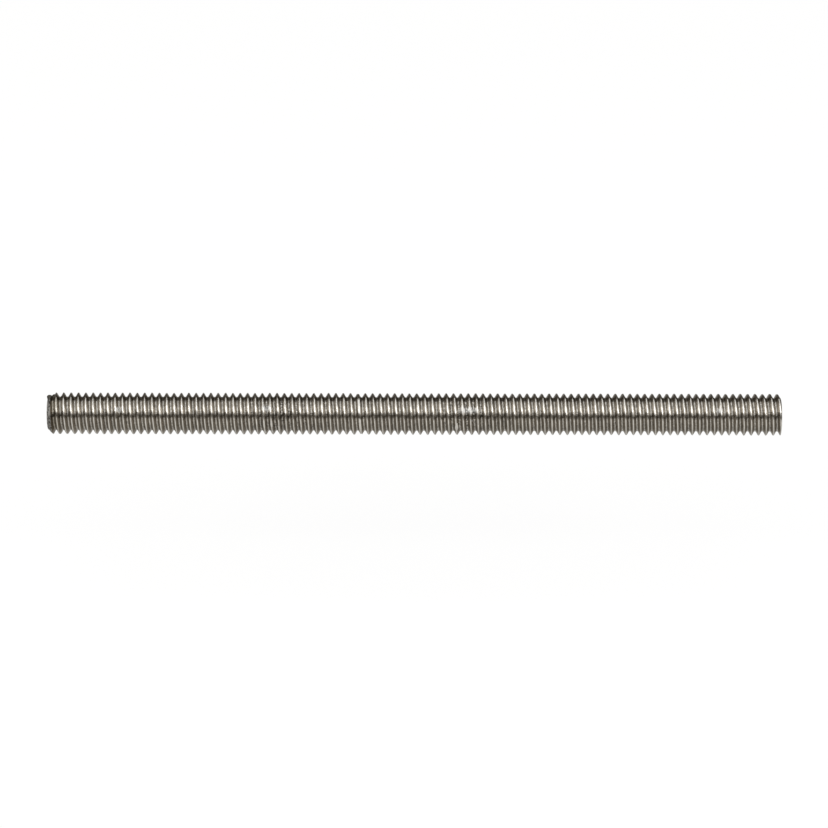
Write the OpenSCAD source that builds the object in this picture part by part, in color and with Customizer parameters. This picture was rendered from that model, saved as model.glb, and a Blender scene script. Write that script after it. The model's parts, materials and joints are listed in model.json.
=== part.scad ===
// Fully threaded rod with a right-hand metric coarse thread, in millimetres.
// One end is chamfered and the other is cut off square. The axis lies along X with the
// chamfered end at -X, and the origin is the middle of the axis.

/* [Rod] */
// Length from the chamfered end's face to the square end's face
rod_l = 69.7; // [20:0.1:110]

/* [Thread] */
// Diameter over the crests
major_d = 3.97; // [3.4:0.01:5]
// Distance along the axis from one crest to the next
pitch = 0.7; // [0.6:0.05:1]
// Angle between the two flanks of a groove
flank_angle = 60; // [50:1:70]
// Width of the flat on each crest
crest_w = 0.08; // [0.05:0.01:0.15]
// Width of the flat in each root
root_w = 0.14; // [0.05:0.01:0.2]
// Turn of the thread about the axis, which moves the places where it runs out at the ends
thread_turn_angle = 324; // [0:1:359]

/* [Chamfered end] */
// Diameter of the flat face that the chamfer leaves
face_d = 2.8; // [2.6:0.05:3.3]
// Angle between the chamfer and the end face
chamfer_angle = 45; // [30:1:60]

/* [Hidden] */

// Most facets that the whole thread may have
facet_count = 11500;
// Sides of the round blank that carries the two ends
blank_side_count = 64;

major_r = major_d / 2;
flank_w = (pitch - crest_w - root_w) / 2;
thread_depth = flank_w / tan(flank_angle / 2);
root_r = major_r - thread_depth;

// The blank stands clear of the crests by the thread's depth, so that only its ends trim the thread
blank_r = major_r + thread_depth;
face_r = face_d / 2;
chamfer_l = (blank_r - face_r) * tan(chamfer_angle);

// One pitch of the thread in section, as [distance along the axis, radius]: root, flank, crest, flank
thread_section = [
    [0, root_r],
    [root_w, root_r],
    [root_w + flank_w, major_r],
    [root_w + flank_w + crest_w, major_r]
];
corner_count = len(thread_section);

// The helix starts a whole turn before the rod and ends a whole turn past it
spare_turn_count = 1;
turn_count = ceil(rod_l / pitch) + 2 * spare_turn_count;

// Each step round the helix adds two facets for every side of the section.
// An even number of steps to a turn makes the rod reach as far to one side as to the other.
facets_per_step_count = 2 * corner_count;
half_turn_step_count = floor(facet_count / (facets_per_step_count * turn_count) / 2);
turn_step_count = 2 * half_turn_step_count;
step_angle = 360 / turn_step_count;
last_step = turn_count * turn_step_count;

// Distance along the axis that the helix has come at a step
function helix_z(step) = pitch * (step / turn_step_count - spare_turn_count);

// Point on the helix at a step and a corner of the section
function helix_point(step, corner) =
    let (
        radius = thread_section[corner][1],
        z = helix_z(step) + thread_section[corner][0]
    )
    [radius * cos(step * step_angle), radius * sin(step * step_angle), z];

// Number of that point in the list. The corner after the last one is the first of the next turn.
function helix_number(step, corner) =
    corner < corner_count ? step * corner_count + corner : (step + turn_step_count) * corner_count;

// Closed helical bar: the thread's skin, and a fan of facets round a point on the axis at each end
module helical_bar() {
    end_step = last_step + turn_step_count;
    helix_points = [
        for (step = [0 : end_step])
            for (corner = [0 : corner_count - 1])
                helix_point(step, corner)
    ];
    start_hub = len(helix_points);
    end_hub = start_hub + 1;
    hub_points = [[0, 0, helix_z(0)], [0, 0, helix_z(end_step)]];
    skin = [
        for (step = [0 : last_step - 1])
            for (corner = [0 : corner_count - 1])
                let (
                    near = helix_number(step, corner),
                    far = helix_number(step + 1, corner + 1)
                )
                each [
                    [near, far, helix_number(step + 1, corner)],
                    [near, helix_number(step, corner + 1), far]
                ]
    ];
    start_fan = [
        for (step = [0 : turn_step_count - 1])
            [start_hub, helix_number(step, 0), helix_number(step + 1, 0)]
    ];
    start_wall = [
        for (corner = [0 : corner_count - 1])
            [start_hub, helix_number(0, corner + 1), helix_number(0, corner)]
    ];
    end_fan = [
        for (step = [last_step : end_step - 1])
            [end_hub, helix_number(step + 1, 0), helix_number(step, 0)]
    ];
    end_wall = [
        for (corner = [0 : corner_count - 1])
            [end_hub, helix_number(last_step, corner), helix_number(last_step, corner + 1)]
    ];
    polyhedron(
        points = concat(helix_points, hub_points),
        faces = concat(skin, start_fan, start_wall, end_fan, end_wall)
    );
}

// Round blank with the two finished ends that the helical bar is trimmed to
module end_blank() {
    rotate_extrude($fn = blank_side_count)
        polygon([[0, 0], [face_r, 0], [blank_r, chamfer_l], [blank_r, rod_l], [0, rod_l]]);
}

module threaded_rod() {
    color("silver")
        translate([-rod_l / 2, 0, 0])
            rotate([0, 90, 0])
                intersection() {
                    rotate(thread_turn_angle) helical_bar();
                    end_blank();
                }
}

threaded_rod();
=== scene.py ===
"""Looks of a fully threaded steel rod, with its rolled thread, sawn ends, burr and wear, on a pale floor."""

import json
import logging
import math
from dataclasses import dataclass, field
from enum import Enum
from typing import Any

import bpy
from mathutils import Matrix, Vector
from mathutils.bvhtree import BVHTree


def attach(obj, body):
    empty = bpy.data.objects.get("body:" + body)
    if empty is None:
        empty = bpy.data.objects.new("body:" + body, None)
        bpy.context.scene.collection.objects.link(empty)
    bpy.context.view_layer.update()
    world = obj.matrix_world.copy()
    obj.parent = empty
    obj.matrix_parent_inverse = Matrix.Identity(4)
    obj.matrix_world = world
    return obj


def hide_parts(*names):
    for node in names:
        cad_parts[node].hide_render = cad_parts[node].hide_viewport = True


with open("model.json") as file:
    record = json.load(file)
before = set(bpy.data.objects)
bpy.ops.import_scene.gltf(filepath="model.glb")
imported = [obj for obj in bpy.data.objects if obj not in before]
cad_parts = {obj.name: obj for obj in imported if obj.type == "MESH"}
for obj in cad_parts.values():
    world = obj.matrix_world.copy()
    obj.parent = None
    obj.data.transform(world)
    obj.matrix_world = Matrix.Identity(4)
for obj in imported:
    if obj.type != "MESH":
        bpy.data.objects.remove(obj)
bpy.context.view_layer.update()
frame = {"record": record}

LEAN = "lean"
MM = 0.001
FULL_TURN = 2 * math.pi
# Most of a noise texture's grey values lie between these
NOISE_LOW, NOISE_HIGH = 0.3, 0.7

log = logging.getLogger("threaded_rod")

Colour = tuple[float, float, float, float]


def stated_mount(name: str) -> dict[str, Any]:
    """Find one of the part's mounts, by its name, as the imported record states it."""
    return next(mount for mount in frame["record"]["mounts"] if mount["name"] == name)


def outward(around: float) -> Vector:
    """Point straight out from the axis, at an angle round it from the front upwards."""
    return Vector((0, -math.cos(around), math.sin(around)))


class Surface(Enum):
    """The finishes on the rod, in the order of its material slots."""

    ROLLED = 0
    SAWN = 1
    CHAMFERED = 2
    TORN = 3


@dataclass(frozen=True)
class RodPlace:
    """Node sockets for where on the rod the shaded point lies."""

    point: bpy.types.NodeSocket
    along: bpy.types.NodeSocket
    around: bpy.types.NodeSocket
    radius: bpy.types.NodeSocket
    lean: bpy.types.NodeSocket


class NodeGraph:
    """A material's or the world's node tree, with short calls to fill it."""

    def __init__(self, tree: bpy.types.NodeTree) -> None:
        """Empty the tree, which is then filled."""
        self.tree = tree
        tree.nodes.clear()

    def add(self, kind: str, inputs: dict[Any, Any] | None = None, **settings: Any) -> bpy.types.Node:
        """Add a node, set it up and feed its inputs.

        Args:
            kind: The node's type name.
            inputs: Input name or number, to a value or to the socket that feeds it.
            settings: The node's own properties.

        Returns:
            The new node.
        """
        node = self.tree.nodes.new(kind)
        for name, value in settings.items():
            setattr(node, name, value)
        for key, value in (inputs or {}).items():
            if isinstance(value, bpy.types.NodeSocket):
                self.tree.links.new(value, node.inputs[key])
            else:
                node.inputs[key].default_value = value
        return node

    def math(self, operation: str, *values: Any) -> bpy.types.NodeSocket:
        """Add a Math node, on numbers or sockets in order, and return its result."""
        return self.add("ShaderNodeMath", dict(enumerate(values)), operation=operation).outputs[0]

    def remap(
        self, value: Any, low: float, high: float, to_low: float = 0.0, to_high: float = 1.0
    ) -> bpy.types.NodeSocket:
        """Map a value from the range it has to another, held at the ends."""
        inputs = {0: value, 1: low, 2: high, 3: to_low, 4: to_high}
        return self.add("ShaderNodeMapRange", inputs, clamp=True).outputs[0]

    def between(self, share: Any, start: float, end: float) -> bpy.types.NodeSocket:
        """Pick a number between two by a share from 0 to 1."""
        return self.remap(share, 0.0, 1.0, start, end)

    def noise(self, vector: Any, scale: float, detail: float = 3.0, w: Any = None) -> bpy.types.NodeSocket:
        """Add a noise texture and return its grey value.

        Args:
            vector: The coordinates' socket.
            scale: Cells to a metre.
            detail: Octaves of finer noise.
            w: A fourth coordinate, if any.

        Returns:
            The grey value's socket.
        """
        inputs = {"Vector": vector, "Scale": scale, "Detail": detail}
        if w is not None:
            inputs["W"] = w
        dimensions = "3D" if w is None else "4D"
        return self.add("ShaderNodeTexNoise", inputs, noise_dimensions=dimensions).outputs["Fac"]

    def noise_between(
        self, vector: Any, scale: float, bounds: tuple[float, float], detail: float = 3.0
    ) -> bpy.types.NodeSocket:
        """Add a noise texture and spread its grey value between two bounds."""
        return self.remap(self.noise(vector, scale, detail), NOISE_LOW, NOISE_HIGH, *bounds)

    def mix(self, blend: str, factor: Any, first: Any, second: Any) -> bpy.types.NodeSocket:
        """Blend two colours, where the factor says how much the second one counts."""
        inputs = {0: factor, 6: first, 7: second}
        return self.add("ShaderNodeMix", inputs, data_type="RGBA", blend_type=blend).outputs[2]

    def ramp(self, value: Any, *stops: tuple[float, Colour]) -> bpy.types.NodeSocket:
        """Colour a value by a ramp.

        Args:
            value: The socket to colour.
            stops: Positions and colours, in order.

        Returns:
            The colour's socket.
        """
        node = self.add("ShaderNodeValToRGB", {0: value})
        elements = node.color_ramp.elements
        for position, colour in stops[1:-1]:
            elements.new(position).color = colour
        for element, (position, colour) in ((elements[0], stops[0]), (elements[-1], stops[-1])):
            element.position, element.color = position, colour
        return node.outputs["Color"]

    def bump(self, height: Any, distance: float, normal: Any = None) -> bpy.types.NodeSocket:
        """Bend the surface's normal by a height.

        Args:
            height: The height's socket, from 0 to 1.
            distance: What a height of 1 stands for, in metres.
            normal: The normal to start from, if it isn't the mesh's own.

        Returns:
            The bent normal's socket.
        """
        inputs = {"Strength": 1.0, "Distance": distance, "Height": height}
        if normal is not None:
            inputs["Normal"] = normal
        return self.add("ShaderNodeBump", inputs).outputs["Normal"]

    def rod_place(self) -> RodPlace:
        """Work out where on the rod the shaded point lies.

        Returns:
            The place's sockets.
        """
        point = self.add("ShaderNodeTexCoord").outputs["Object"]
        axes = self.add("ShaderNodeSeparateXYZ", {0: point}).outputs
        squares = [self.math("POWER", axes[name], 2.0) for name in ("Y", "Z")]
        around = self.math("ARCTAN2", axes["Z"], self.math("MULTIPLY", axes["Y"], -1.0))
        radius = self.math("SQRT", self.math("ADD", *squares))
        lean = self.math("ABSOLUTE", self.add("ShaderNodeAttribute", attribute_name=LEAN).outputs["Fac"])
        return RodPlace(point, axes["X"], around, radius, lean)


@dataclass(frozen=True)
class Scuff:
    """A rubbed patch on the thread, placed along the axis and round it from the front upwards."""

    along: float
    around: float
    half_length: float
    half_width: float
    tilt: float = 0.0


@dataclass(frozen=True)
class RolledSteel:
    """Rolled stainless steel, burnished on the crests, dull in the roots and rubbed in places, with painted
    shade darkening its flanks.
    """

    name: str
    root_radius: float
    crest_radius: float
    dull_end: float
    # Colour and roughness of each level of the thread, where the dark flank colour is painted shade
    crest_colour: Colour = (0.7, 0.685, 0.649, 1.0)
    # painted shade: the flanks are coloured much darker than the steel, for the shade in the thread's grooves
    shaded_flank_colour: Colour = (0.27, 0.238, 0.192, 1.0)
    root_colour: Colour = (0.6, 0.582, 0.543, 1.0)
    rubbed_colour: Colour = (0.57, 0.56, 0.536, 1.0)
    crest_roughness: float = 0.3
    flank_roughness: float = 0.38
    root_roughness: float = 0.33
    rubbed_roughness: float = 0.5
    uneven_roughness: tuple[float, float] = (-0.04, 0.05)
    uneven_scale: float = 2500.0
    grain: float = 0.9
    level_blend: float = 0.15
    flank_lean: tuple[float, float] = (0.42, 0.8)
    # Streaks, pits and tones, with scales in cells to a metre
    streak_scale: float = 700.0
    streak_stretch: float = 60000.0
    streak_depth: float = 0.3e-6
    pit_scale: float = 5500.0
    pit_depth: float = 9e-6
    pits_on_crest: float = 0.5
    tone_scale: float = 900.0
    tone: tuple[float, float] = (0.88, 1.1)
    speckle_scale: float = 7000.0
    speckle: tuple[float, float] = (-0.5, 0.3)
    speckle_on_crest: float = 0.25
    # Mottled stretches, the dull first turns and the scuffs
    mottled: tuple[float, ...] = (5.3 * MM, -12.8 * MM)
    mottled_reach: float = 3.5 * MM
    mottled_gain: float = 2.2
    dull_colour: Colour = (0.5, 0.46, 0.37, 1.0)
    dull_reach: float = 1.6 * MM
    scuff_edge: tuple[float, float] = (0.55, 1.05)
    scuff_break: tuple[float, float] = (-0.35, 0.35)
    scuff_break_scale: float = 5000.0
    scuffs: tuple[Scuff, ...] = (
        Scuff(5.19 * MM, math.radians(40), 1.15 * MM, 0.42 * MM),
        Scuff(-27.97 * MM, math.radians(40), 0.3 * MM, 0.35 * MM),
        Scuff(28.93 * MM, math.radians(40), 0.35 * MM, 0.35 * MM),
        Scuff(-14.0 * MM, math.radians(46), 0.5 * MM, 0.4 * MM),
        Scuff(5.46 * MM, math.radians(9), 0.22 * MM, 0.06 * MM, math.radians(-45)),
        Scuff(-32.1 * MM, math.radians(-21), 0.16 * MM, 0.06 * MM, math.radians(40)),
    )

    def build(self) -> bpy.types.Material:
        """Make the material.

        Returns:
            The material.
        """
        material = bpy.data.materials.new(self.name)
        material.use_nodes = True
        graph = NodeGraph(material.node_tree)
        place = graph.rod_place()
        middle = (self.root_radius + self.crest_radius) / 2
        reach = (self.crest_radius - self.root_radius) * self.level_blend
        crest = graph.remap(place.radius, middle - reach, middle + reach)
        flank = graph.remap(place.lean, *self.flank_lean)
        rubbed = self._rubbed(graph, place)
        shader = graph.add(
            "ShaderNodeBsdfPrincipled",
            {
                "Base Color": self._colour(graph, place, crest, flank, rubbed),
                "Metallic": 1.0,
                "Roughness": self._roughness(graph, place, crest, flank, rubbed),
                "Anisotropic": self.grain,
                "Tangent": graph.add("ShaderNodeCombineXYZ", {"X": 1.0}).outputs[0],
                "Normal": self._normal(graph, place, crest),
            },
        )
        graph.add("ShaderNodeOutputMaterial", {"Surface": shader.outputs[0]})
        return material

    def _rubbed(self, graph: NodeGraph, place: RodPlace) -> bpy.types.NodeSocket:
        """Work out how rubbed the surface is.

        Args:
            graph: The material's nodes.
            place: Where the shaded point lies.

        Returns:
            The socket of a value from 0 to 1.
        """
        broken = graph.noise_between(place.point, self.scuff_break_scale, self.scuff_break)
        rubbed: Any = 0.0
        for scuff in self.scuffs:
            along = graph.math("SUBTRACT", place.along, scuff.along)
            turn = graph.math("SUBTRACT", place.around, scuff.around)
            up = graph.math("MULTIPLY", turn, self.crest_radius)
            cosine, sine = math.cos(scuff.tilt), math.sin(scuff.tilt)
            lengthways = graph.math("MULTIPLY_ADD", along, cosine, graph.math("MULTIPLY", up, sine))
            sideways = graph.math("MULTIPLY_ADD", up, cosine, graph.math("MULTIPLY", along, -sine))
            shares = [
                graph.math("POWER", graph.math("DIVIDE", way, half), 2.0)
                for way, half in ((lengthways, scuff.half_length), (sideways, scuff.half_width))
            ]
            reach = graph.math("ADD", graph.math("SQRT", graph.math("ADD", *shares)), broken)
            rubbed = graph.math("MAXIMUM", rubbed, graph.remap(reach, *self.scuff_edge, 1.0, 0.0))
        return rubbed

    def _colour(
        self, graph: NodeGraph, place: RodPlace, crest: Any, flank: Any, rubbed: Any
    ) -> bpy.types.NodeSocket:
        """Colour the steel from root to crest, paint shade onto its flanks, mottle it, rub it and dull its
        first turns.

        Args:
            graph: The material's nodes.
            place: Where the shaded point lies.
            crest: 0 nearer to the root and 1 nearer to the crest.
            flank: How much the surface leans along the axis, as a flank does, and so how much painted shade
                it gets.
            rubbed: How rubbed the surface is.

        Returns:
            The colour's socket.
        """
        level = graph.mix("MIX", crest, self.root_colour, self.crest_colour)
        # painted shade: faces that lean like flanks take the dark shaded flank colour
        flank_shaded = graph.mix("MIX", flank, level, self.shaded_flank_colour)
        worn = graph.mix("MIX", rubbed, flank_shaded, self.rubbed_colour)
        amount: Any = 1.0
        for middle in self.mottled:
            away = graph.math("ABSOLUTE", graph.math("SUBTRACT", place.along, middle))
            gain = graph.remap(away, 0.0, self.mottled_reach, self.mottled_gain, 1.0)
            amount = graph.math("MAXIMUM", amount, gain)
        amount = graph.math("MULTIPLY", amount, graph.between(crest, 1.0, self.speckle_on_crest))
        speckle = graph.noise_between(place.point, self.speckle_scale, self.speckle)
        fine = graph.math("MULTIPLY_ADD", speckle, amount, 1.0)
        broad = graph.noise_between(place.point, self.tone_scale, self.tone, detail=4.0)
        toned = graph.mix("MULTIPLY", 1.0, worn, graph.math("MULTIPLY", broad, fine))
        dull = graph.remap(place.along, self.dull_end, self.dull_end + self.dull_reach, 1.0, 0.0)
        return graph.mix("MULTIPLY", dull, toned, self.dull_colour)

    def _roughness(
        self, graph: NodeGraph, place: RodPlace, crest: Any, flank: Any, rubbed: Any
    ) -> bpy.types.NodeSocket:
        """Work out the roughness from root to crest, uneven, and rougher where rubbed.

        Args:
            graph: The material's nodes.
            place: Where the shaded point lies.
            crest: 0 nearer to the root and 1 nearer to the crest.
            flank: How much the surface leans along the axis, as a flank does.
            rubbed: How rubbed the surface is.

        Returns:
            The roughness's socket.
        """
        level = graph.between(crest, self.root_roughness, self.crest_roughness)
        uneven = graph.noise_between(place.point, self.uneven_scale, self.uneven_roughness)
        rough = graph.math("ADD", uneven, level)
        for share, value in ((flank, self.flank_roughness), (rubbed, self.rubbed_roughness)):
            rough = graph.math("MULTIPLY_ADD", graph.math("SUBTRACT", value, rough), share, rough)
        return rough

    def _normal(self, graph: NodeGraph, place: RodPlace, crest: Any) -> bpy.types.NodeSocket:
        """Pit the surface, less so on the crests, and streak it along the thread.

        Args:
            graph: The material's nodes.
            place: Where the shaded point lies.
            crest: 0 nearer to the root and 1 nearer to the crest.

        Returns:
            The bent normal's socket.
        """
        share = graph.between(crest, 1.0, self.pits_on_crest)
        pits = graph.math("MULTIPLY", graph.noise(place.point, self.pit_scale), share)
        layers = graph.math("MULTIPLY", place.radius, self.streak_stretch)
        streaks = graph.noise(place.point, self.streak_scale, detail=2.0, w=layers)
        return graph.bump(streaks, self.streak_depth, graph.bump(pits, self.pit_depth))


@dataclass(frozen=True)
class SawnSteel:
    """Bare steel left matte, grainy and scored across by a saw."""

    name: str
    colour: Colour = (0.22, 0.21, 0.188, 1.0)
    pale_colour: Colour = (0.4, 0.39, 0.365, 1.0)
    score_stretch: float = 0.03
    fineness: float = 9000.0
    rough: float = 0.6
    smooth: float = 0.48
    depth: float = 5e-6
    dark_below: float = 0.4
    pale_above: float = 0.58

    def build(self) -> bpy.types.Material:
        """Make the material.

        Returns:
            The material.
        """
        material = bpy.data.materials.new(self.name)
        material.use_nodes = True
        graph = NodeGraph(material.node_tree)
        place = graph.add("ShaderNodeTexCoord").outputs["Object"]
        scored = graph.add("ShaderNodeMapping", {"Vector": place, "Scale": (1.0, self.score_stretch, 1.0)})
        grain = graph.noise(scored.outputs[0], self.fineness, detail=4.0)
        shades = (self.dark_below, self.colour), (self.pale_above, self.pale_colour)
        shader = graph.add(
            "ShaderNodeBsdfPrincipled",
            {
                "Base Color": graph.ramp(grain, *shades),
                "Metallic": 1.0,
                "Roughness": graph.remap(grain, NOISE_LOW, NOISE_HIGH, self.rough, self.smooth),
                "Normal": graph.bump(grain, self.depth),
            },
        )
        graph.add("ShaderNodeOutputMaterial", {"Surface": shader.outputs[0]})
        return material


@dataclass(frozen=True)
class PaleFloor:
    """White paper floor that keeps the rod's shadow; for all but the camera's own rays, as in the steel's
    reflections, painted shade darkens it from in front of the rod to near black far behind it.
    """

    name: str
    colour: Colour = (0.9, 0.9, 0.9, 1.0)
    painted_shade_colour: Colour = (0.06, 0.053, 0.043, 1.0)
    white: Colour = (1.0, 1.0, 1.0, 1.0)
    # painted reflection: a warm white that the floor shows only in the steel's reflections
    warm_reflection_white: Colour = (1.0, 0.97, 0.925, 1.0)
    # painted shade: how much of the floor's white is left at each depth, for all but camera rays
    painted_shade_stops: tuple[tuple[float, float], ...] = (
        (-30 * MM, 0.86),
        (-10 * MM, 0.72),
        (0.0, 0.57),
        (30 * MM, 0.54),
        (170 * MM, 0.46),
        (300 * MM, 0.05),
    )
    white_share: float = 0.88

    def build(self) -> bpy.types.Material:
        """Make the material.

        Returns:
            The material.
        """
        material = bpy.data.materials.new(self.name)
        material.use_nodes = True
        graph = NodeGraph(material.node_tree)
        rays = graph.add("ShaderNodeLightPath").outputs
        place = graph.add("ShaderNodeTexCoord").outputs["Object"]
        depth = graph.add("ShaderNodeSeparateXYZ", {0: place}).outputs["Y"]
        start, end = self.painted_shade_stops[0][0], self.painted_shade_stops[-1][0]
        stops = [((back - start) / (end - start), (share, share, share, 1.0)) for back, share in self.painted_shade_stops]
        # painted shade: the floor dims with depth behind the rod, except to the camera, which sees it white
        front = graph.ramp(graph.remap(depth, start, end), *stops)
        pale = graph.math("MAXIMUM", front, rays["Is Camera Ray"])
        seen = graph.math("MAXIMUM", rays["Is Camera Ray"], rays["Is Glossy Ray"])
        seen = graph.math("MAXIMUM", seen, rays["Is Transmission Ray"])
        shaded_paper_tint = graph.mix("MIX", pale, self.painted_shade_colour, self.colour)
        paper = graph.add("ShaderNodeBsdfDiffuse", {"Color": shaded_paper_tint})
        # painted reflection tint: warm white in reflections, pure white to the camera
        glow = graph.mix("MIX", rays["Is Camera Ray"], self.warm_reflection_white, self.white)
        white = graph.add("ShaderNodeEmission", {"Color": glow, "Strength": pale})
        mix = graph.add(
            "ShaderNodeMixShader",
            {0: graph.math("MULTIPLY", seen, self.white_share), 1: paper.outputs[0], 2: white.outputs[0]},
        )
        graph.add("ShaderNodeOutputMaterial", {"Surface": mix.outputs[0]})
        return material


@dataclass(frozen=True)
class Flat:
    """A short stretch of crest pressed flat, placed along the axis and round it from the front upwards."""

    along: float
    around: float
    depth: float


@dataclass(frozen=True)
class LowTurn:
    """A turn whose crest was rolled low, so that it is wider than the rest."""

    along: float
    depth: float


@dataclass(frozen=True)
class Lump:
    """A lump of metal on the rod, placed along the axis, out from it and round it from the front upwards."""

    along: float
    out: float
    around: float
    half_size: tuple[float, float, float]
    unevenness: float = 0.04
    grain: float = 0.3

    @property
    def middle(self) -> Vector:
        """Middle of the lump."""
        return Vector((self.along, 0, 0)) + outward(self.around) * self.out


@dataclass
class ThreadedRod:
    """The rod, modelled in millimetres on its axis along X and then set to its size in metres."""

    name: str = "rolled_rod"
    # The thread and the ends
    length: float = 69.7
    crest_radius: float = 1.985
    pitch: float = 0.7
    crest_width: float = 0.1
    crest_rounding: float = 0.05
    root_width: float = 0.14
    root_rounding: float = 0.065
    flank_angle: float = math.radians(60)
    thread_turn: float = math.radians(324)
    face_radius: float = 1.5
    # How finely it is modelled
    turn_steps: int = 72
    spare_turns: int = 1
    rounding_segments: int = 2
    lump_segments: int = 28
    lump_rings: int = 18
    smooth_angle: float = math.radians(40)
    weld: float = 1e-5
    tolerance: float = 0.001
    # Cutters, as shares of the pitch or of a radius
    cut_share: float = 0.9
    ring_growth: float = 1.14
    blank_growth: float = 1.25
    # How near and how steep a face is to have a finish
    burr_reach: float = 0.002
    cone_reach: float = 0.01
    cone_lean: float = 0.6
    end_lean: float = 0.99
    # Unevenness, burr and pressed or low crests
    waver: float = 0.06
    waver_size: float = 0.8
    burr: tuple[Lump, ...] = (
        Lump(-34.74, 1.49, math.radians(118), half_size=(0.21, 0.75, 0.28), unevenness=0.1),
        Lump(-34.2, 1.5, math.radians(115), half_size=(0.34, 0.7, 0.3), unevenness=0.1),
    )
    spread: Lump = Lump(4.03, 1.86, math.radians(-13), half_size=(0.175, 0.45, 0.12))
    low_turns: tuple[LowTurn, ...] = (LowTurn(-5.26, 0.08),)
    flats: tuple[Flat, ...] = (
        Flat(4.03, math.radians(-13), 0.06),
        Flat(-14.28, math.radians(-3), 0.06),
        Flat(-14.25, math.radians(-36), 0.07),
        Flat(-13.54, math.radians(-3), 0.07),
        Flat(-13.51, math.radians(-36), 0.07),
        Flat(-12.83, math.radians(-20), 0.06),
    )
    piece: bpy.types.Object = field(init=False)
    burr_surface: BVHTree = field(init=False)

    @property
    def flank_width(self) -> float:
        """Width of one flank along the axis."""
        return (self.pitch - self.crest_width - self.root_width) / 2

    @property
    def root_radius(self) -> float:
        """Radius at the bottom of the thread."""
        return self.crest_radius - self.flank_width / math.tan(self.flank_angle / 2)

    @property
    def cut_width(self) -> float:
        """Width of a cut into one crest, along the axis."""
        return self.pitch * self.cut_share

    def build(self) -> None:
        """Model the rod."""
        self._draw_section()
        self._sweep_section()
        self._waver_crests()
        self._square_ends()
        self._combine(self.piece, self._lump(self.spread), "UNION")
        self._combine(self.piece, self._crest_cutter(), "DIFFERENCE")
        self._combine(self.piece, self._chamfer_blank(), "INTERSECT")
        self._combine(self.piece, self._burr_solid(), "UNION")
        self._set_to_metres()

    def _draw_section(self) -> None:
        """Draw one pitch of the thread in section, from the middle of a root to the middle of the next."""
        turns_to_top = 0.5 - self.thread_turn / FULL_TURN
        start = -self.length / 2 + self.root_width / 2 + self.pitch * (turns_to_top - self.spare_turns)
        depth = self.crest_radius - self.root_radius
        bpy.ops.object.select_all(action="DESELECT")
        bpy.ops.mesh.primitive_plane_add(size=self.pitch, location=(0, 0, 0))
        self.piece = bpy.context.object
        self.piece.name = self.name
        bpy.ops.object.mode_set(mode="EDIT")
        bpy.ops.mesh.select_all(action="SELECT")
        bpy.ops.mesh.merge(type="CENTER")
        bpy.ops.transform.translate(value=(start, 0, self.root_radius))
        strokes = (
            (self.root_width / 2, 0),
            (self.flank_width, depth),
            (self.crest_width, 0),
            (self.flank_width, -depth),
            (self.root_width / 2, 0),
        )
        for along, out in strokes:
            bpy.ops.mesh.extrude_region_move(TRANSFORM_OT_translate={"value": (along, 0, out)})
        self._round_corners(self.crest_radius, self.crest_rounding, start)
        self._round_corners(self.root_radius, self.root_rounding, start)
        bpy.ops.object.mode_set(mode="OBJECT")

    def _round_corners(self, radius: float, offset: float, start: float) -> None:
        """Round the section's corners that lie at a radius.

        Args:
            radius: Radius at which the corners lie.
            offset: How far along its sides each corner is rounded.
            start: Where the section starts along the axis, a place that is not a corner.
        """
        bpy.ops.mesh.select_all(action="DESELECT")
        bpy.ops.object.mode_set(mode="OBJECT")
        for vertex in self.piece.data.vertices:
            inside = self.tolerance < vertex.co.x - start < self.pitch - self.tolerance
            vertex.select = inside and abs(vertex.co.z - radius) < self.tolerance
        bpy.ops.object.mode_set(mode="EDIT")
        bpy.ops.mesh.bevel(
            offset=offset, segments=self.rounding_segments, affect="VERTICES", clamp_overlap=True
        )
        bpy.ops.mesh.select_all(action="SELECT")
        bpy.ops.mesh.remove_doubles(threshold=self.tolerance)

    def _sweep_section(self) -> None:
        """Sweep the section along its helix and weld the turns together."""
        turns = math.ceil(self.length / self.pitch) + 2 * self.spare_turns
        screw = self.piece.modifiers.new("helix", "SCREW")
        screw.axis = "X"
        screw.angle = FULL_TURN
        screw.screw_offset = self.pitch
        screw.iterations = turns
        screw.steps = screw.render_steps = self.turn_steps
        screw.use_merge_vertices = False
        bpy.ops.object.modifier_apply(modifier=screw.name)
        bpy.ops.object.mode_set(mode="EDIT")
        bpy.ops.mesh.select_all(action="SELECT")
        bpy.ops.mesh.remove_doubles(threshold=self.tolerance)
        bpy.ops.object.mode_set(mode="OBJECT")

    def _waver_crests(self) -> None:
        """Make the crests slightly uneven in height, width and place."""
        middle = (self.root_radius + self.crest_radius) / 2
        points = self.piece.data.vertices
        crests = self.piece.vertex_groups.new(name="crests")
        crests.add([point.index for point in points if point.co.yz.length > middle], 1.0, "REPLACE")
        self._add_lumps(self.piece, self.waver, self.waver_size, crests.name)
        self.piece.vertex_groups.clear()

    def _add_lumps(self, target: bpy.types.Object, depth: float, size: float, group: str = "") -> None:
        """Make a surface slightly lumpy.

        Args:
            target: The object to change.
            depth: Height from the deepest hollow to the highest lump.
            size: Size of a lump.
            group: The vertex group to keep to, if any.
        """
        clouds = bpy.data.textures.new("lumps", "CLOUDS")
        clouds.noise_scale = size
        lumps = target.modifiers.new("lumps", "DISPLACE")
        lumps.texture = clouds
        lumps.texture_coords = "LOCAL"
        lumps.strength = depth
        lumps.vertex_group = group
        bpy.context.view_layer.objects.active = target
        bpy.ops.object.modifier_apply(modifier=lumps.name)
        bpy.data.textures.remove(clouds)

    def _square_ends(self) -> None:
        """Cut both ends square."""
        for side in (-1, 1):
            bpy.ops.object.mode_set(mode="EDIT")
            bpy.ops.mesh.select_all(action="SELECT")
            place = (side * self.length / 2, 0, 0)
            bpy.ops.mesh.bisect(plane_co=place, plane_no=(side, 0, 0), use_fill=True, clear_outer=True)
            bpy.ops.mesh.select_all(action="SELECT")
            bpy.ops.mesh.normals_make_consistent(inside=False)
            bpy.ops.object.mode_set(mode="OBJECT")

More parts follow.
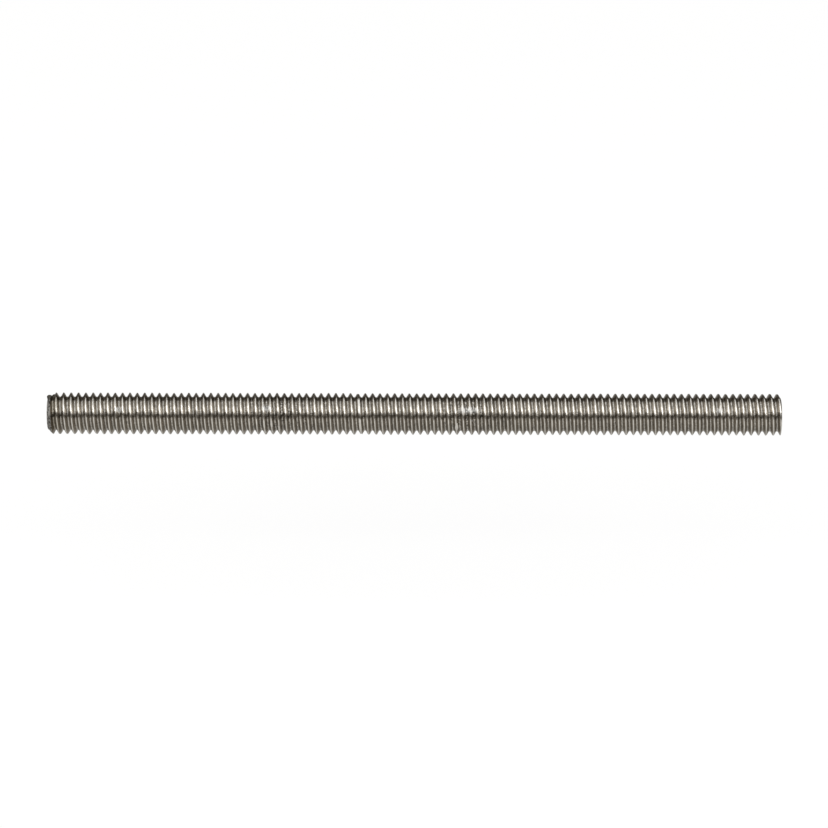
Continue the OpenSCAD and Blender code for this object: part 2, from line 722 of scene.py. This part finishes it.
    def _combine(self, target: bpy.types.Object, tool: bpy.types.Object, operation: str) -> None:
        """Combine one solid with another, weld the seam and remove the other.

        Args:
            target: The solid to change.
            tool: The other solid.
            operation: The Boolean operation's name.

        Raises:
            RuntimeError: If most of the solid is lost.
        """
        before = len(target.data.vertices)
        combine = target.modifiers.new(operation.lower(), "BOOLEAN")
        combine.operation = operation
        combine.solver = "EXACT"
        combine.object = tool
        bpy.ops.object.select_all(action="DESELECT")
        target.select_set(True)
        bpy.context.view_layer.objects.active = target
        bpy.ops.object.modifier_apply(modifier=combine.name)
        bpy.data.objects.remove(tool)
        bpy.ops.object.mode_set(mode="EDIT")
        bpy.ops.mesh.select_all(action="SELECT")
        bpy.ops.mesh.remove_doubles(threshold=self.weld)
        bpy.ops.object.mode_set(mode="OBJECT")
        if len(target.data.vertices) < before / 2:
            raise RuntimeError(f"{operation} lost most of {target.name}")

    def _crest_cutter(self) -> bpy.types.Object:
        """Join the blocks and rings that leave the pressed flats and the low turns when cut away.

        Returns:
            The cutter.
        """
        cutters = [self._flat_block(flat) for flat in self.flats]
        cutters += [self._turn_ring(turn) for turn in self.low_turns]
        bpy.ops.object.select_all(action="DESELECT")
        for cutter in cutters:
            cutter.select_set(True)
        bpy.context.view_layer.objects.active = cutters[0]
        bpy.ops.object.join()
        return bpy.context.object

    def _flat_block(self, flat: Flat) -> bpy.types.Object:
        """Make a block whose underside is a pressed flat.

        Args:
            flat: The flat.

        Returns:
            The block.
        """
        floor = self.crest_radius - flat.depth
        half_chord = math.sqrt(self.crest_radius**2 - floor**2)
        height = self.crest_radius - self.root_radius
        bpy.ops.object.select_all(action="DESELECT")
        bpy.ops.mesh.primitive_cube_add(
            size=1,
            location=Vector((flat.along, 0, 0)) + outward(flat.around) * (floor + height / 2),
            rotation=(math.pi / 2 - flat.around, 0, 0),
            scale=(self.cut_width, 2 * half_chord, height),
        )
        bpy.ops.object.transform_apply(location=True, rotation=True, scale=True)
        return bpy.context.object

    def _turn_ring(self, turn: LowTurn) -> bpy.types.Object:
        """Make a ring whose bore is as wide as a low turn.

        Args:
            turn: The low turn.

        Returns:
            The ring.
        """
        bpy.ops.object.select_all(action="DESELECT")
        bpy.ops.mesh.primitive_circle_add(
            vertices=self.turn_steps // 2,
            radius=self.crest_radius - turn.depth,
            location=(turn.along - self.cut_width / 2, 0, 0),
            rotation=(0, math.pi / 2, 0),
        )
        ring = bpy.context.object
        bpy.ops.object.transform_apply(location=True, rotation=True, scale=True)
        bpy.ops.object.mode_set(mode="EDIT")
        bpy.ops.mesh.select_all(action="SELECT")
        bpy.ops.mesh.extrude_edges_move()
        outwards = (1, self.ring_growth, self.ring_growth)
        bpy.ops.transform.resize(value=outwards, center_override=(turn.along, 0, 0))
        bpy.ops.mesh.select_all(action="SELECT")
        bpy.ops.mesh.extrude_region_move(TRANSFORM_OT_translate={"value": (self.cut_width, 0, 0)})
        bpy.ops.mesh.select_all(action="SELECT")
        bpy.ops.mesh.normals_make_consistent(inside=False)
        bpy.ops.object.mode_set(mode="OBJECT")
        return ring

    def _chamfer_blank(self) -> bpy.types.Object:
        """Turn a bar with the chamfer on its first end, wider than the rod and longer past its other end.

        Returns:
            The bar.
        """
        radius = self.crest_radius * self.blank_growth
        bpy.ops.object.select_all(action="DESELECT")
        bpy.ops.mesh.primitive_cylinder_add(
            vertices=2 * self.turn_steps,
            radius=radius,
            depth=self.length + 2 * self.pitch,
            location=(self.pitch, 0, 0),
            rotation=(0, math.pi / 2, 0),
        )
        blank = bpy.context.object
        bpy.ops.object.transform_apply(location=True, rotation=True, scale=True)
        bpy.ops.object.mode_set(mode="EDIT")
        bpy.ops.mesh.select_mode(type="EDGE")
        bpy.ops.mesh.select_all(action="DESELECT")
        bpy.ops.object.mode_set(mode="OBJECT")
        end = -self.length / 2
        points = blank.data.vertices
        for edge in blank.data.edges:
            edge.select = all(abs(points[i].co.x - end) < self.crest_width for i in edge.vertices)
        bpy.ops.object.mode_set(mode="EDIT")
        bpy.ops.mesh.bevel(offset=radius - self.face_radius, segments=1, affect="EDGES")
        bpy.ops.object.mode_set(mode="OBJECT")
        return blank

    def _burr_solid(self) -> bpy.types.Object:
        """Unite the burr's lumps and keep their surface, by which the burr's faces are told later.

        Returns:
            The burr.
        """
        first, *others = [self._lump(lump) for lump in self.burr]
        for other in others:
            self._combine(first, other, "UNION")
        mesh = first.data
        points, faces = [point.co for point in mesh.vertices], [face.vertices for face in mesh.polygons]
        self.burr_surface = BVHTree.FromPolygons(points, faces)
        return first

    def _lump(self, lump: Lump) -> bpy.types.Object:
        """Make a lump as a solid of its own.

        Args:
            lump: The lump.

        Returns:
            The solid.
        """
        bpy.ops.object.select_all(action="DESELECT")
        bpy.ops.mesh.primitive_uv_sphere_add(
            segments=self.lump_segments,
            ring_count=self.lump_rings,
            radius=1,
            location=lump.middle,
            rotation=(math.pi / 2 - lump.around, 0, 0),
            scale=lump.half_size,
        )
        solid = bpy.context.object
        bpy.ops.object.transform_apply(location=True, rotation=True, scale=True)
        self._add_lumps(solid, lump.unevenness, lump.grain)
        return solid

    def _set_to_metres(self) -> None:
        """Bring the rod from millimetres to its size in metres."""
        bpy.ops.object.select_all(action="DESELECT")
        self.piece.select_set(True)
        bpy.context.view_layer.objects.active = self.piece
        self.piece.scale = (MM, MM, MM)
        bpy.ops.object.transform_apply(location=True, rotation=True, scale=True)
        bpy.ops.object.shade_smooth_by_angle(angle=self.smooth_angle)

    def dress(self) -> None:
        """Give the rod its finishes and tie it to the part."""
        rolled = RolledSteel(
            "rolled_steel",
            root_radius=self.root_radius * MM,
            crest_radius=self.crest_radius * MM,
            dull_end=-self.length / 2 * MM,
        )
        chamfered = SawnSteel(
            "chamfered_steel",
            colour=(0.05, 0.047, 0.042, 1.0),
            pale_colour=(0.34, 0.332, 0.312, 1.0),
            score_stretch=0.2,
            fineness=8000.0,
            rough=0.66,
            smooth=0.5,
            depth=9e-6,
        )
        torn = SawnSteel(
            "torn_steel",
            colour=(0.055, 0.049, 0.04, 1.0),
            pale_colour=(0.16, 0.148, 0.124, 1.0),
            score_stretch=1.0,
            fineness=6000.0,
            rough=0.85,
            smooth=0.7,
            depth=9e-6,
        )
        for finish in (rolled, SawnSteel("sawn_steel"), chamfered, torn):
            self.piece.data.materials.append(finish.build())
        self._mark_lean()
        for face in self.piece.data.polygons:
            face.material_index = self._surface_at(face.center / MM, face.normal).value
        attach(self.piece, "root")
        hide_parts("threaded_rod")

    def _mark_lean(self) -> None:
        """Keep how far each corner's normal leans along the axis, for the rolled finish."""
        mesh = self.piece.data
        lean = mesh.attributes.new(LEAN, "FLOAT", "CORNER")
        lean.data.foreach_set("value", [normal.vector.x for normal in mesh.corner_normals])

    def _surface_at(self, centre: Vector, normal: Vector) -> Surface:
        """Tell which finish a face has, by its place and direction.

        Args:
            centre: The face's centre, in millimetres.
            normal: The face's normal.

        Returns:
            The face's finish.
        """
        radius = math.hypot(centre.y, centre.z)
        from_end = centre.x + self.length / 2
        if self.burr_surface.find_nearest(centre, self.burr_reach)[0]:
            return Surface.TORN
        if abs(radius - self.face_radius - from_end) < self.cone_reach and normal.x < -self.cone_lean:
            return Surface.CHAMFERED
        return Surface.SAWN if abs(normal.x) > self.end_lean else Surface.ROLLED


@dataclass(frozen=True)
class Softbox:
    """A rectangular light, seen from the rod's axis between two angles up from the front."""

    name: str
    lowest: float
    highest: float
    width: float
    radiance: float
    sideways: float = 0.0
    distance: float = 0.6


@dataclass
class Studio:
    """Floor, lights, surroundings and camera."""

    # Camera
    camera_distance: float = 340 * MM
    camera_elevation: float = math.radians(28)
    camera_roll: float = math.radians(0.126)
    sensor_width: float = 36.0
    frame_width: float = 78.85 * MM
    nearest: float = 10 * MM
    farthest: float = 10.0
    target: Vector = field(default_factory=lambda: Vector((-0.02 * MM, 0, 0)))
    # Floor, room and lights
    floor_drop: float = 15 * MM
    floor_radius: float = 3.0
    floor_sides: int = 64
    room_colour: Colour = (0.085, 0.075, 0.06, 1.0)
    softboxes: tuple[Softbox, ...] = (
        Softbox("key_softbox", math.radians(36), math.radians(76), width=0.84, radiance=1.55),
        Softbox("left_softbox", math.radians(38), math.radians(80), width=0.94, radiance=6.2, sideways=-1.05),
        Softbox("right_softbox", math.radians(38), math.radians(80), width=0.94, radiance=6.2, sideways=1.05),
        Softbox("top_softbox", math.radians(76), math.radians(126), width=0.84, radiance=1.1),
        Softbox(
            "top_left_softbox", math.radians(80), math.radians(126), width=0.94, radiance=2.4, sideways=-1.05
        ),
        Softbox(
            "top_right_softbox", math.radians(80), math.radians(126), width=0.94, radiance=2.4, sideways=1.05
        ),
        Softbox("low_softbox", math.radians(24), math.radians(36), width=0.84, radiance=0.85),
    )

    def build(self) -> None:
        """Set up the whole studio."""
        self._lay_floor()
        self._dim_room()
        self._hang_softboxes()
        self._place_camera()
        bpy.context.scene.view_settings.view_transform = "Standard"

    def _lay_floor(self) -> None:
        """Lay a round paper floor under the rod."""
        bpy.ops.object.select_all(action="DESELECT")
        bpy.ops.mesh.primitive_circle_add(
            vertices=self.floor_sides,
            radius=self.floor_radius,
            fill_type="NGON",
            location=(0, 0, -self.floor_drop),
        )
        floor = bpy.context.object
        floor.name = "studio_floor"
        bpy.ops.object.transform_apply(location=True, rotation=True, scale=True)
        floor.data.materials.append(PaleFloor("white_paper").build())

    def _dim_room(self) -> None:
        """Surround the floor with a dim, even room."""
        world = bpy.data.worlds.new("dim_room")
        world.use_nodes = True
        graph = NodeGraph(world.node_tree)
        glow = graph.add("ShaderNodeBackground", {"Color": self.room_colour, "Strength": 1.0})
        graph.add("ShaderNodeOutputWorld", {"Surface": glow.outputs[0]})
        bpy.context.scene.world = world

    def _hang_softboxes(self) -> None:
        """Hang the softboxes above the rod, each facing its axis."""
        for box in self.softboxes:
            back = outward((box.lowest + box.highest) / 2)
            bpy.ops.object.light_add(type="AREA", location=back * box.distance + Vector((box.sideways, 0, 0)))
            light = bpy.context.object
            light.name = box.name
            light.rotation_euler = (-back).to_track_quat("-Z", "Y").to_euler()
            light.data.shape = "RECTANGLE"
            light.data.size = box.width
            light.data.size_y = 2 * box.distance * math.tan((box.highest - box.lowest) / 2)
            light.data.energy = box.radiance * math.pi * light.data.size * light.data.size_y

    def _place_camera(self) -> None:
        """Place the camera at the photograph's viewing angle."""
        back = outward(self.camera_elevation)
        bpy.ops.object.camera_add(location=self.target + back * self.camera_distance)
        camera = bpy.context.object
        camera.name = "photo_camera"
        aim = (-back).to_track_quat("-Z", "Y").to_matrix()
        camera.rotation_euler = (aim @ Matrix.Rotation(self.camera_roll, 3, "Z")).to_euler()
        camera.data.sensor_width = self.sensor_width
        camera.data.lens = self.sensor_width * self.camera_distance / self.frame_width
        camera.data.clip_start = self.nearest
        camera.data.clip_end = self.farthest
        bpy.context.scene.camera = camera


def main() -> None:
    """Build the rod and the studio, and report the rod."""
    logging.basicConfig(level=logging.INFO, format="%(name)s: %(message)s")
    thread = stated_mount("thread")["dims"]
    rod = ThreadedRod(length=thread["length_mm"], crest_radius=thread["r_mm"])
    rod.build()
    rod.dress()
    mesh = rod.piece.data
    mesh.calc_loop_triangles()
    log.info("%s: %d vertices, %d triangles", rod.piece.name, len(mesh.vertices), len(mesh.loop_triangles))
    Studio().build()


if __name__ == "__main__":
    main()
